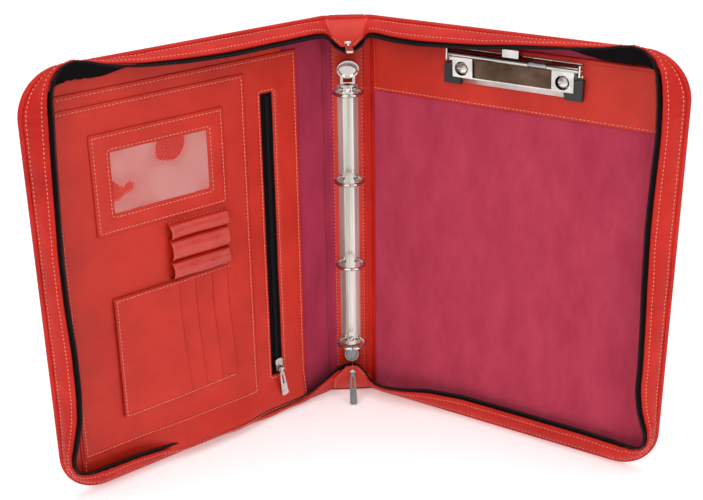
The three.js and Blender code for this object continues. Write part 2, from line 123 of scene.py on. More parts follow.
def turned_edge(e, radius):
    """How far a sheet's face drops at a distance e from its rounded rim: a quarter circle."""
    return radius * (np.sqrt(1 - np.clip(1 - e / radius, 0, 1) ** 2) - 1)


def seam_dip(e, at, deep=0.42, wide=0.55):
    """How far a seam that runs at a distance from the rim pulls the leather in."""
    return deep * bump(e, at, wide)


def in_scene(name, data):
    obj = bpy.data.objects.new(name, data)
    bpy.context.scene.collection.objects.link(obj)
    return obj


def mesh_object(name, points, faces, material):
    mesh = bpy.data.meshes.new(name)
    mesh.from_pydata([tuple(p) for p in np.asarray(points).reshape(-1, 3)], [], faces)
    mesh.validate()
    mesh.update()
    mesh.polygons.foreach_set("use_smooth", [True] * len(mesh.polygons))
    mesh.materials.append(material)
    return in_scene(name, mesh)


def grid_faces(rows, columns, wrap=False, start=0):
    faces = []
    for i in range(rows - 1):
        for j in range(columns if wrap else columns - 1):
            k = (j + 1) % columns
            faces.append((start + i * columns + j, start + (i + 1) * columns + j,
                          start + (i + 1) * columns + k, start + i * columns + k))
    return faces


def end_caps(rows, columns, start=0):
    """Faces that close the first and the last ring of a tube."""
    last = start + (rows - 1) * columns
    return [tuple(reversed(range(start, start + columns))), tuple(range(last, last + columns))]


def flipped(faces):
    return [tuple(reversed(f)) for f in faces]


def facing(side, faces):
    """Faces that are drawn for the left cover look the other way on its mirror image."""
    return faces if side == "left" else flipped(faces)


def grid_object(name, points, material, side="left"):
    return mesh_object(name, points, facing(side, grid_faces(*points.shape[:2])), material)


def finish_piece(obj, body, replaces=(), blended=None):
    """Fasten a piece to a body, or bake the transform of a piece built across a hinge, and hide the
    CAD parts that it replaces.
    """
    if blended:
        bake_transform(obj)
    else:
        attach(obj, body)
    if replaces:
        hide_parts(*replaces)
    return obj


def hinge_blend(side, middle=LINING):
    start, end = (place(side, s, middle, HEIGHT / 2) for s in (-HINGE_BEND, HINGE_BEND))
    return ("spine", f"{side}_cover", tuple(start), tuple(end))


def rounded_outline(low_u, high_u, low_z, high_z, near, far, inset, arc=9, step=5.0):
    """Points round a rectangle with its own near and far corner radii, moved inwards by inset.

    Every inset gives the same number of points, so outlines can be joined into rings.
    """
    corners = [(low_u, low_z, near, math.pi), (high_u, low_z, far, 1.5 * math.pi),
               (high_u, high_z, far, 0.0), (low_u, high_z, near, 0.5 * math.pi)]
    sides = [high_u - low_u, high_z - low_z, high_u - low_u, high_z - low_z]
    arcs = []
    for u, z, radius, start in corners:
        sign_u = 1 if u == low_u else -1
        sign_z = 1 if z == low_z else -1
        r = max(radius - inset, 0.02)
        reach = max(radius, inset + 0.02) if radius < inset else radius
        centre = (u + sign_u * reach, z + sign_z * reach)
        turn = np.linspace(start, start + math.pi / 2, arc)
        arcs.append(np.stack([centre[0] + r * np.cos(turn), centre[1] + r * np.sin(turn)], 1))
    points = []
    for i, block in enumerate(arcs):
        following = arcs[(i + 1) % 4]
        count = max(2, int(sides[i] / step))
        fractions = np.linspace(0, 1, count + 2)[1:-1, None]
        points += [block, block[-1] + (following[0] - block[-1]) * fractions]
    return np.concatenate(points)


RING_INSETS = [0, 0.12, 0.4, 0.8, 1.3, 1.9, 2.4, 2.9, 3.4, 4.2, 5.4, 7, 9.5, 13, 17, 21.5, 26, 31]


def insets_for(half):
    """Distances of a panel's rings from its rim, down to the line along its middle."""
    regular = np.arange(36, half - 3, 5.0)
    return [x for x in RING_INSETS if x < half - 2] + list(regular) + [half - 0.01]


def panel(name, side, box, depth, material, thick=PANEL_EDGE, near=1.2, far=1.2, stitch=3.0, puff=0.25,
          shape=None):
    """A leather panel with turned edges: it rounds over at its rim and dips at its stitch line.

    shape(u, z) adds its own depth to the whole panel.
    """
    low_u, high_u, low_z, high_z = box
    half = min(high_u - low_u, high_z - low_z) / 2
    insets = insets_for(half)
    rows = [rounded_outline(*box, near, far, e) for e in insets]
    count = len(rows[0])
    u = np.array([r[:, 0] for r in rows])
    z = np.array([r[:, 1] for r in rows])
    e = np.array(insets)[:, None] * np.ones((1, count))
    d = depth + turned_edge(e, thick) + puff * smooth(e, 0, stitch)
    d = d - seam_dip(e, stitch)
    if shape:
        d = d + shape(u, z) * smooth(e, -1, 5)
    u = np.vstack([u[:1], u])
    z = np.vstack([z[:1], z])
    d = np.vstack([d[:1] - 0.4, d])
    points = place(side, u, d, z).reshape(-1, 3)
    return mesh_object(name, points, facing(side, grid_faces(len(u), count, wrap=True)), material)


def stitch_points(line, pitch=STITCH_PITCH, closed=False):
    """Middles and directions of the stitches along a polyline of (s, d, z) points."""
    line = np.asarray(line, float)
    if closed:
        line = np.vstack([line, line[:1]])
    along = lengths(line)
    count = max(1, int(along[-1] / pitch))
    at = (np.arange(count) + 0.5) * along[-1] / count
    ends = [np.stack([np.interp(at + shift, along, line[:, k]) for k in range(3)], 1)
            for shift in (-0.5, 0.5)]
    return (ends[0] + ends[1]) / 2, ends[1] - ends[0]


STITCH_SIDES = 6
STITCH_SECTIONS = [(-1.0, 0.25), (-0.7, 0.8), (0.0, 1.0), (0.7, 0.8), (1.0, 0.25)]


def stitches(name, side, lines, body, length=2.4, thick=0.52, lift=0.16, material=None,
             pitch=STITCH_PITCH):
    """Real stitches: a small capsule of thread for each, sunk a little at both ends.

    lines holds (points, closed) pairs, each point being (s, d, z).
    """
    points, faces = [], []
    ring = np.linspace(0, 2 * math.pi, STITCH_SIDES, endpoint=False)
    for line, closed in lines:
        middles, directions = stitch_points(line, pitch, closed)
        world = [place(side, *(middles + directions * k * 0.5).T) for k in (-1, 0, 1)]
        up = place(side, middles[:, 0], middles[:, 1] + 1, middles[:, 2]) - world[1]
        for a, m, b, n in zip(world[0], world[1], world[2], up):
            t = (b - a) / np.linalg.norm(b - a)
            n = n - t * (n @ t)
            n /= np.linalg.norm(n)
            w = np.cross(t, n)
            start = len(points)
            for along, width in STITCH_SECTIONS:
                sink = lift - 0.3 * along * along
                centre = m + (t * along * length / 2 + n * sink) * MM
                for angle in ring:
                    points.append(centre + (w * math.cos(angle) + n * math.sin(angle) * 0.8)
                                  * thick * width * MM)
            faces += flipped(grid_faces(len(STITCH_SECTIONS), STITCH_SIDES, True, start))
            faces += end_caps(len(STITCH_SECTIONS), STITCH_SIDES, start)
    obj = mesh_object(name, points, faces, material or THREAD)
    return finish_piece(obj, body)


def tube(name, path, radius, body, replaces):
    """A chrome wire along one path of points in metres."""
    count = 20
    tangent = unit(np.gradient(path, axis=0))
    side_way = np.array([0.0, 0.0, 1.0])
    points = []
    for p, t in zip(path, tangent):
        side_way = side_way - t * (side_way @ t)
        side_way /= np.linalg.norm(side_way)
        across = np.cross(t, side_way)
        for k in range(count):
            angle = 2 * math.pi * k / count
            points.append(p + radius * MM * (side_way * math.cos(angle) + across * math.sin(angle)))
    faces = grid_faces(len(path), count, True) + end_caps(len(path), count)
    obj = mesh_object(name, points, flipped(faces), CHROME)
    return finish_piece(obj, body, replaces)


# ---------- materials ----------

def new_material(name):
    material = bpy.data.materials.new(name)
    material.use_nodes = True
    tree = material.node_tree
    return material, tree, tree.nodes["Principled BSDF"]


def set_inputs(node, values):
    for name, value in values.items():
        node.inputs[name].default_value = value


def noise(tree, scale, detail=4.0, roughness=0.55, stretch=None):
    coordinates = tree.nodes.new("ShaderNodeTexCoord")
    texture = tree.nodes.new("ShaderNodeTexNoise")
    set_inputs(texture, {"Scale": scale, "Detail": detail, "Roughness": roughness})
    source = coordinates.outputs["Object"]
    if stretch:
        mapping = tree.nodes.new("ShaderNodeMapping")
        set_inputs(mapping, {"Scale": stretch})
        tree.links.new(source, mapping.inputs["Vector"])
        source = mapping.outputs["Vector"]
    tree.links.new(source, texture.inputs["Vector"])
    return texture.outputs["Fac"]


def cells(tree, scale):
    coordinates = tree.nodes.new("ShaderNodeTexCoord")
    texture = tree.nodes.new("ShaderNodeTexVoronoi")
    texture.feature = "DISTANCE_TO_EDGE"
    set_inputs(texture, {"Scale": scale})
    tree.links.new(coordinates.outputs["Object"], texture.inputs["Vector"])
    return texture.outputs["Distance"]


def ramp(tree, source, stops):
    node = tree.nodes.new("ShaderNodeValToRGB")
    while len(node.color_ramp.elements) < len(stops):
        node.color_ramp.elements.new(0.5)
    for element, (at, colour) in zip(node.color_ramp.elements, stops):
        element.position = at
        element.color = (*colour, 1.0) if len(colour) == 3 else colour
    tree.links.new(source, node.inputs["Fac"])
    return node.outputs["Color"]


def paint(tree, shader, socket, source, stops):
    """Drive a socket of the shader by a texture, through a colour ramp."""
    tree.links.new(ramp(tree, source, stops), shader.inputs[socket])


def grey(value):
    return (value, value, value)


def add_bump(tree, shader, layers):
    """Stack bumps: each layer is (height, distance in metres, strength)."""
    normal = None
    for height, distance, strength in layers:
        node = tree.nodes.new("ShaderNodeBump")
        set_inputs(node, {"Distance": distance, "Strength": strength})
        tree.links.new(height, node.inputs["Height"])
        if normal:
            tree.links.new(normal, node.inputs["Normal"])
        normal = node.outputs["Normal"]
    tree.links.new(normal, shader.inputs["Normal"])


def leather(name, dark, middle, light, rough=(0.46, 0.6), grain=1.0, shine=0.36, coat=0.05):
    material, tree, shader = new_material(name)
    paint(tree, shader, "Base Color", noise(tree, 26, 6, 0.6),
          [(0.3, dark), (0.5, middle), (0.72, light)])
    paint(tree, shader, "Roughness", noise(tree, 60, 5, 0.6),
          [(0.3, grey(rough[0])), (0.75, grey(rough[1]))])
    set_inputs(shader, {"Specular IOR Level": shine, "Coat Weight": coat, "Coat Roughness": 0.24})
    pores = ramp(tree, cells(tree, 1500), [(0.0, grey(0.0)), (0.16, grey(1.0))])
    add_bump(tree, shader, [(noise(tree, 90, 3), 0.0006, 0.25 * grain),
                            (pores, 0.00008, 0.35 * grain)])
    return material


def suede(name, dark, middle, light):
    material, tree, shader = new_material(name)
    nap = noise(tree, 38, 9, 0.68, (1.0, 1.0, 0.45))
    paint(tree, shader, "Base Color", nap, [(0.3, dark), (0.5, middle), (0.7, light)])
    set_inputs(shader, {"Roughness": 0.94, "Specular IOR Level": 0.15, "Sheen Weight": 0.35,
                        "Sheen Roughness": 0.45, "Sheen Tint": (0.9, 0.45, 0.55, 1)})
    add_bump(tree, shader, [(noise(tree, 900, 4, 0.7), 0.0003, 0.35), (nap, 0.0008, 0.15)])
    return material


def woven(name, colour, scale=2600, rough=0.8, shine=0.3):
    material, tree, shader = new_material(name)
    paint(tree, shader, "Base Color", noise(tree, 420, 4),
          [(0.3, [c * 0.6 for c in colour]), (0.7, colour)])
    set_inputs(shader, {"Roughness": rough, "Specular IOR Level": shine})
    add_bump(tree, shader, [(noise(tree, scale, 2, 0.5, (1, 1, 0.4)), 0.0002, 0.6)])
    return material


def plastic(name, colour, rough, scale=500, strength=0.12, shine=0.5):
    material, tree, shader = new_material(name)
    paint(tree, shader, "Base Color", noise(tree, 120, 5),
          [(0.3, [c * 0.75 for c in colour]), (0.7, colour)])
    paint(tree, shader, "Roughness", noise(tree, 200, 4),
          [(0.3, grey(rough)), (0.8, grey(rough + 0.14))])
    set_inputs(shader, {"Specular IOR Level": shine})
    add_bump(tree, shader, [(noise(tree, scale, 3), 0.0002, strength)])
    return material


def metal(name, dark, light, rough, wave=0.04, stretch=(1, 1, 1), metallic=1.0):
    material, tree, shader = new_material(name)
    paint(tree, shader, "Base Color", noise(tree, 55, 5, 0.6, stretch),
          [(0.35, dark), (0.65, light)])
    set_inputs(shader, {"Metallic": metallic})
    paint(tree, shader, "Roughness", noise(tree, 160, 6, 0.7),
          [(0.3, grey(rough)), (0.8, grey(rough + 0.1))])
    add_bump(tree, shader, [(noise(tree, 70, 2), 0.0006, wave)])
    return material


def film(name):
    material, tree, shader = new_material(name)
    # The milky patches are partly the film's own haze and partly painted reflection of its creases, in
    # colour and alpha.
    haze_and_reflection = noise(tree, 26, 1, 0.4, (1.0, 1.0, 0.8))
    paint(tree, shader, "Base Color", haze_and_reflection,
          [(0.4, (0.70, 0.24, 0.21)), (0.6, (0.80, 0.42, 0.39))])
    paint(tree, shader, "Alpha", haze_and_reflection,
          [(0.46, grey(0.06)), (0.475, grey(0.44)), (0.7, grey(0.5))])
    set_inputs(shader, {"Roughness": 0.06, "Specular IOR Level": 0.7})
    add_bump(tree, shader, [(haze_and_reflection, 0.004, 0.25)])
    return material


RED = leather("red_leather", (0.41, 0.007, 0.003), (0.49, 0.012, 0.005), (0.57, 0.02, 0.01),
              shine=0.2, coat=0.0)
RED_PANEL = leather("red_leather_panel", (0.46, 0.013, 0.003), (0.53, 0.018, 0.005),
                    (0.60, 0.025, 0.009), grain=0.8)
RED_GLOSSY = leather("red_leather_glossy", (0.42, 0.011, 0.003), (0.50, 0.017, 0.005),
                     (0.58, 0.024, 0.009), (0.26, 0.36), 0.6, 0.6, 0.35)
SUEDE = suede("suede_lining", (0.36, 0.027, 0.058), (0.42, 0.038, 0.075), (0.48, 0.05, 0.092))
# A darker copy of the same suede, as painted shade: the left lining shows only in the crease beside
# the spine.
SUEDE_PAINTED_SHADE = suede("suede_lining_left_painted_shade", (0.25, 0.017, 0.045), (0.33, 0.024, 0.058),
                 (0.39, 0.03, 0.07))
TAPE = woven("zip_tape", (0.005, 0.0042, 0.005), shine=0.06)
TEETH = plastic("zip_teeth", (0.006, 0.006, 0.007), 0.3, shine=0.16)
THREAD = woven("thread", (0.9, 0.27, 0.2), 3000, 0.6)
DARK_THREAD = woven("thread_dark", (0.22, 0.012, 0.016), 3000, 0.7)
CHROME = metal("chrome", (0.46, 0.45, 0.42), (0.66, 0.64, 0.60), 0.07, 0.12)
# Nearly black metal: the dark reflection of the clip's plate is painted into its colour.
CHROME_PAINTED_DARK_REFLECTION = metal("chrome_painted_dark_reflection", (0.055, 0.032, 0.02), (0.11, 0.07, 0.05), 0.06, 0.1)
# Light and dark bands stretched along the rail, with the metal half diffuse: painted reflection of the
# chrome.
RAIL_CHROME_PAINTED_REFLECTION = metal("rail_chrome_painted_reflection", (0.34, 0.32, 0.27), (0.82, 0.81, 0.77), 0.16, 0.03,
                    (4, 1, 0.06), 0.55)
SCREW = metal("screw", (0.62, 0.6, 0.56), (0.84, 0.82, 0.78), 0.24, 0.05)
STEEL = metal("spring_steel", (0.34, 0.33, 0.31), (0.5, 0.49, 0.47), 0.28)
RUBBER = plastic("black_rubber", (0.016, 0.015, 0.016), 0.3)
FILM = film("clear_film")
BOARD = plastic("board", (0.35, 0.32, 0.28), 0.8)


def finish_cad():
    """Give each CAD node that stays the material of its kind."""
    for name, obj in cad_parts.items():
        if name.startswith(("ring_blade", "clip_spring")):
            material = STEEL
        elif name == "ring_rail":
            material = RAIL_CHROME_PAINTED_REFLECTION
        elif name.startswith("clip_screw"):
            material = SCREW
        elif name.startswith("clip_corner"):
            material = RUBBER
        elif name.endswith("board"):
            material = BOARD
        elif name.startswith(("ring", "trigger", "rail", "slider", "clip", "inner_zip_slider",
                              "inner_zip_pull")):
            material = CHROME
        else:
            material = RED
        obj.data.materials.clear()
        obj.data.materials.append(material)


# ---------- covers ----------

def outline_path(inset, start=0.0, step=3.0):
    """Places (s, z) along the three open sides of a cover, top edge first.

    With them come the inward direction at each and the length along the path.
    """
    turn = COVER - CORNER
    radius = CORNER - inset
    top = [(s, HEIGHT - inset) for s in np.arange(start, turn, step)]
    arc = np.linspace(math.pi / 2, 0, 16)
    upper = [(turn + radius * math.cos(a), HEIGHT - CORNER + radius * math.sin(a)) for a in arc]
    fore = [(COVER - inset, z) for z in np.arange(HEIGHT - CORNER - step, CORNER, -step)]
    lower = [(turn + radius * math.cos(a), CORNER - radius * math.sin(a)) for a in arc[::-1]]
    bottom = [(s, inset) for s in np.arange(turn - step, start - 0.01, -step)]
    points = np.array(top + upper + fore + lower + bottom)
    tangent = unit(np.gradient(points, axis=0))
    inward = np.stack([tangent[:, 1], -tangent[:, 0]], 1)
    return points, inward, lengths(points)


def corner_puckers(points, along, seed):
    """Fine gathers of the leather, strongest round the corners."""
    turn = COVER - CORNER
    near = smooth(points[:, 0], turn - 40, turn + 12) * (
        smooth(points[:, 1], HEIGHT - CORNER - 45, HEIGHT - CORNER + 10)
        + smooth(-points[:, 1], -CORNER - 45, -CORNER + 10))
    return near * (0.6 * np.sin(along * 0.62 + seed) + 0.4 * np.sin(along * 1.17 + 2 * seed))


EDGE_START = SPINE_MIDDLE     # the binding and the wall run to the middle of the spine


def edge_binding(side):
    """The turned outer edge, from the outer face round to the foot of the gusset wall."""
    points, inward, along = outline_path(0.0, EDGE_START)
    roll = np.linspace(-math.pi / 2, math.pi / 2, 11)
    section = [(6.0, BACK + 0.03), (4.0, BACK - 0.12)]
    section += [(2.5 - 2.6 * math.cos(a), -0.35 + 2.95 * math.sin(a)) for a in roll]
    section += [(3.0, 2.0), (3.6, 2.3)]
    waves = corner_puckers(points, along, 1.0)
    s = np.stack([points[:, 0] + inward[:, 0] * e for e, _ in section], 1)
    z = np.stack([points[:, 1] + inward[:, 1] * e for e, _ in section], 1)
    d = np.stack([np.full(len(points), depth) + 0.1 * waves for _, depth in section], 1)
    z = np.clip(z, 0.02, HEIGHT - 0.02)
    obj = grid_object(f"{side}_edge_binding", place(side, s, d, z), RED, side)
    return finish_piece(obj, None, blended=hinge_blend(side))


def cover_grid(s, t, inset):
    """Places that fill a cover: t runs from its lower to its upper outline, held in by inset."""
    beyond = np.clip(s - (COVER - CORNER), 0, CORNER - inset)
    curve = CORNER - np.sqrt(np.maximum((CORNER - inset) ** 2 - beyond ** 2, 0))
    rise = np.where(s < COVER - CORNER, inset, curve)
    z = rise[:, None] + t[None, :] * (HEIGHT - 2 * rise[:, None])
    return s[:, None] * np.ones_like(z), z


def cover_skin(side):
    """The outer leather, across the hinge to the edge of the spine's own panel."""
    s = np.concatenate([np.linspace(-12, 8, 17), np.linspace(12, COVER - 8, 40),
                        np.linspace(COVER - 7, COVER - 1.5, 8)])
    t = np.concatenate([np.linspace(0, 0.03, 5), np.linspace(0.05, 0.95, 40),
                        np.linspace(0.97, 1, 5)])
    grid_s, z = cover_grid(s, t, 1.5)
    hinge = bump(grid_s, 0, 4)
    d = BACK - 0.05 + 0.25 * ripple(grid_s, z, 5) - 0.35 * hinge
    d -= 0.12 * hinge * np.sin(z * 0.35 + np.sin(z * 0.11) * 2)
    obj = grid_object(f"{side}_outer_leather", place(side, grid_s, d, z), RED, side)
    obj.data.flip_normals()
    finish_piece(obj, None, (f"{side}_cover_leather",), hinge_blend(side))
    back = BACK - 0.28
    rim, _, _ = outline_path(7.0, 6.0)
    stitches(f"{side}_outer_stitches", side,
             [(np.column_stack([rim[:, 0], np.full(len(rim), back), rim[:, 1]]), False)],
             f"{side}_cover", lift=-0.1)
    return obj


def lining(side):
    """The suede lining of a cover, carried over the hinge to the spine."""
    # The left cover takes the suede darkened by painted shade.
    material = SUEDE_PAINTED_SHADE if side == "left" else SUEDE
    s = np.concatenate([np.linspace(-3.4, 6, 10), np.linspace(9, COVER - 6, 50)])
    grid_s, z = cover_grid(s, np.linspace(0, 1, 60), 3.0)
    d = LINING - 0.1 + 0.3 * ripple(grid_s, z, 11 + SIDES[side]) * smooth(grid_s, 8, 40)
    d += 0.5 * bump(grid_s, 4, 5)
    obj = grid_object(f"{side}_lining", place(side, grid_s, d, z), material, side)
    finish_piece(obj, None, (f"{side}_cover_lining",), hinge_blend(side))
    return obj


# ---------- gusset walls and zip ----------

# Control points (s, z, depth) of the rim of each wall, where its leather ends and the zip's tape
# begins, from the upper slider round the cover to the lower one. They follow the photo's rim line
# as the fitted camera sees it, with an assumed depth.
RIM = {
    "left": [
        (-20, 336.3, 18.6), (-14.5, 337.8, 18.6), (-9, 342, 17.8), (5, 347.5, 17.2),
        (12, 351, 18.5), (26, 353, 21), (60, 352.5, 21.5), (110, 352, 21.5), (150, 353.5, 21),
        (185, 356, 19), (212, 359.5, 17), (230, 364, 15), (243, 366, 14.2), (255, 363, 15),
        (263, 352, 16), (264, 340, 16), (265.5, 323, 18), (268, 299, 20), (270, 262, 21),
        (272, 220, 21.5), (272, 180, 22), (270, 140, 21.5), (270, 105, 21), (271, 80, 20),
        (275, 60, 18), (279, 42, 16), (276, 26, 15), (262, 18.5, 11), (240, 19, 13.5),
        (213, 18, 13), (185, 14, 11), (150, 8, 8.5), (110, 6.5, 8), (70, 5.5, 6.5), (40, 6, 7),
        (30, 10, 9.5), (22, 16, 12.5), (15, 21, 14.5), (8, 25, 16), (3, 27.5, 17),
        (-9, 30.5, 18), (-14.5, 33, 18.5), (-20, 34.5, 18.5),
    ],
    "right": [
        (-20, 336.3, 18.6), (-14.5, 337.8, 18.6), (-9, 342, 17.8), (5, 348, 17.2),
        (14, 351.5, 19.5), (34, 350, 21), (56, 349.5, 21), (85, 351, 21), (115, 353, 21.5),
        (150, 357, 21), (185, 359.5, 18.5), (215, 362, 16), (232, 364.5, 14.5), (244, 365, 14.5),
        (255, 361.5, 16), (262, 349, 16), (263, 338, 16), (265.5, 323, 18.5), (267, 299, 20),
        (265.5, 262, 19), (264.5, 223, 18), (266, 180, 19), (268, 140, 20), (269, 105, 20),
        (268.5, 85, 19.5), (271, 64, 17.5), (277, 46, 16.5), (277, 30, 16), (264, 20, 10.5),
        (250, 20.5, 10), (213, 21, 9.5), (150, 21, 9.5), (100, 21, 10), (65, 19, 13),
        (46, 16, 17), (26, 14, 19), (15, 12, 16), (8, 14, 16), (3, 18, 17), (-9, 24, 18),
        (-14.5, 31, 18.5), (-20, 34.5, 18.5),
    ],
}
LEATHER_RISE = 20.0     # slant height of the leather, at which the tape begins
FLAP_REACH = -5.0       # the leather of the wall ends under the spine's end flap


def averaged(values, times):
    for _ in range(times):
        middle = (values[:-2] + 2 * values[1:-1] + values[2:]) / 4
        values = np.concatenate([values[:1], middle, values[-1:]])
    return values


class Wall:
    """The gusset wall of one side, ruled between its foot on the cover and its rim."""

    def __init__(self, side):
        self.side = side
        self.foot, self.inward, self.along = outline_path(WALL_INSET, EDGE_START, 2.0)
        rim = np.array(RIM[side])
        at = np.array([self.foot_length(s, z) for s, z, _ in rim])
        rim = place(side, rim[:, 0], rim[:, 2], rim[:, 1]) / MM
        self.rim = np.stack([averaged(np.interp(self.along, at, rim[:, k]), 8) for k in range(3)], 1)
        self.base = place(side, self.foot[:, 0], WALL_BASE, self.foot[:, 1]) / MM
        rise = self.rim - self.base
        self.slant = np.linalg.norm(rise, axis=1)[:, None]
        self.up = rise / self.slant
        across = unit(np.cross(np.gradient(self.rim, axis=0), self.up))
        inner = self.foot + self.inward
        towards = place(side, inner[:, 0], WALL_BASE, inner[:, 1]) / MM - self.base
        if (across * towards).sum() < 0:
            across = -across
        self.across = np.stack([averaged(across[:, k], 6) for k in range(3)], 1)
        self.hang = smooth(self.foot[:, 0], 150, 240) * smooth(self.foot[:, 1], 300, 345)
        self.puckers = corner_puckers(self.foot, self.along, 2.0 if side == "left" else 3.1)
        self.waves = ripple(self.along, 0 * self.along, 21 + SIDES[side], 0.7)

    def foot_length(self, s, z):
        """How far along the foot of the wall the place next to (s, z) is."""
        turn = COVER - CORNER
        if HEIGHT - CORNER > z > CORNER:
            s, z = COVER - WALL_INSET, z
        elif s > turn:
            centre = HEIGHT - CORNER if z > HEIGHT / 2 else CORNER
            angle = math.atan2(z - centre, s - turn)
            s = turn + (CORNER - WALL_INSET) * math.cos(angle)
            z = centre + (CORNER - WALL_INSET) * math.sin(angle)
        else:
            z = HEIGHT - WALL_INSET if z > HEIGHT / 2 else WALL_INSET
        if s < 20:
            z = HEIGHT - WALL_INSET if z > HEIGHT / 2 else WALL_INSET
        return self.along[np.argmin(np.hypot(*(self.foot - (s, z)).T))]

    def at(self, up, across, hang=0.0):
        """World points (mm) at a slant height and a distance inwards from the wall."""
        past = max(up - LEATHER_RISE, 0.0)
        under_flap = 0.15 + 0.85 * smooth(self.foot[:, 0], -8, -2)
        share = 1 - (1 - min(up / LEATHER_RISE, 1.0)) * under_flap
        belly = np.sin(math.pi * share)
        wobble = belly * (0.9 * self.waves - 1.4) + share * 0.35 * self.puckers
        wobble += 0.75 * belly * self.puckers + hang * self.hang * max(21.0 - up, 0)
        side_step = (across + wobble)[:, None] * self.across
        return self.base + self.up * (self.slant * share[:, None] + past) + side_step

    def line(self, up, across, low=None, high=None):
        """The same along one line, as (s, d, z) of the flat part of the cover."""
        x, y, z = self.at(up, across)[low:high].T
        x = HINGE_X - SIDES[self.side] * x
        return np.stack([-x * math.sin(OPEN) - y * math.cos(OPEN),
                         x * math.cos(OPEN) - y * math.sin(OPEN), z], 1)

    def strip(self, name, section, material, start=None, hang=0.0):
        keep = slice(None) if start is None else self.beyond(start)
        grid = np.stack([self.at(up, across, hang)[keep] for up, across in section], 1)
        return grid_object(name, grid * MM, material, self.side)

    def beyond(self, start):
        """The part of the path whose foot is past the given s."""
        inside = np.flatnonzero(self.foot[:, 0] >= start)
        return slice(inside[0], inside[-1] + 1)


def gusset(side, wall):
    """The leather of the wall, folded over at its top to the tape's inner side."""
    section = [(0, 0.4), (0.6, 0), (2, -0.15), (3.4, 0.12), (5, -0.1), (8, -0.35), (11, -0.4),
               (14, -0.25), (15.6, 0.0), (16.2, 0.22), (16.8, 0.02), (18, -0.25), (19.2, -0.1),
               (19.9, 0.45), (20.0, 1.0), (19.7, 1.6), (19, 1.9), (15, 2.0), (9, 2.1), (1, 1.8)]
    obj = wall.strip(f"{side}_gusset_wall", section, RED, FLAP_REACH)
    finish_piece(obj, None, (f"{side}_gusset",), hinge_blend(side, 12.0))
    part = wall.beyond(8.0)
    for seam, up in (("rim", 16.2), ("edge", 3.4)):
        stitches(f"{side}_{seam}_stitches", side,
                 [(wall.line(up, -0.1, part.start, part.stop), False)],
                 f"{side}_cover", length=2.0, lift=0.0)
    return obj


def zip_half(side, wall):
    """Tape and coil of one side of the long zip, all the way from slider to slider."""
    tape_section = [(8, 2.4), (12, 2.45), (16, 2.5), (18.5, 2.4), (20.5, 1.7), (23.2, 1.7),
                    (23.4, 2.2), (23.2, 2.9), (20, 3.1), (16, 3.2), (12, 3.2), (8, 3.1)]
    tape = wall.strip(f"{side}_tape", tape_section, TAPE, hang=0.8)
    finish_piece(tape, None, (f"{side}_zip_tape",), hinge_blend(side, 12.0))
    stitches(f"{side}_tape_stitches", side, [(wall.line(13.5, 3.3, 30, -30), False)],
             f"{side}_cover", length=2.0, thick=0.3, material=DARK_THREAD)
    coil(f"{side}_coil", side, wall.at(23.9, 2.3), wall.at(22.4, 2.3))


COIL_PITCH = 1.7


def coil(name, side, line, below):
    """Each tooth is a small loop of the nylon coil, standing across the edge of the tape."""
    along = lengths(line)
    count = int(along[-1] / COIL_PITCH)
    at = (np.arange(count) + 0.5) * along[-1] / count

    def spots(source, shift=0.0):
        return np.stack([np.interp(at + shift, along, source[:, k]) for k in range(3)], 1) * MM

    tops, ahead, feet = spots(line), spots(line, 0.5), spots(below)
    ring = [(math.cos(a), math.sin(a)) for a in np.linspace(0, 2 * math.pi, 8, endpoint=False)]
    layers = [(-0.5, 0.7), (-0.3, 1.0), (0.3, 1.0), (0.5, 0.7)]
    points, faces = [], []
    for top, front, foot in zip(tops, ahead, feet):
        t = front - top
        t /= np.linalg.norm(t)
        n = top - foot
        n -= t * (n @ t)
        n /= np.linalg.norm(n)
        w = np.cross(t, n)
        start = len(points)
        for shift, size in layers:
            for a, b in ring:
                points.append(top + (t * shift + w * a * 1.15 * size + n * b * 0.95 * size) * MM)
        faces += grid_faces(len(layers), len(ring), True, start)
        faces += end_caps(len(layers), len(ring), start)
    obj = mesh_object(name, points, faces, TEETH)
    return finish_piece(obj, None, (f"{side}_zip_teeth",), hinge_blend(side, 12.0))


# ---------- the left cover's organiser ----------

# Boxes are (near s, far s, low z, high z)
ORGANISER_BOX = (32.0, 263.0, 7.0, 338.0)
BACKING_BOX = (47.0, 276.0, 3.5, 356.5)
ZIP_SLOT = (58.0, 70.0, 42.0, 306.0)
POCKET_BOX = (86.0, 261.0, 31.0, 327.0)
ID_FRAME = (109.0, 230.0, 221.0, 304.0)
ID_HOLE = (125.5, 213.0, 237.5, 287.5)
CARD_AREA = (58.0, 166.0, 222.0)            # low z, high z and far s of the stepped pockets
CARD_EDGES = [112.0, 128.0, 145.0, 161.0]   # free edges of the stepped pockets
LOOP_REACH = (112.0, 168.0)                 # near and far s of the pen loops
LOOP_RISE = 8.6
LOOP_SEAMS = [167.5, 184.0, 203.0, 217.0]   # heights of the seams between the pen loops
LEFT = "left_cover"


def on_face(outline, depth):
    return [(u, depth, z) for u, z in outline]


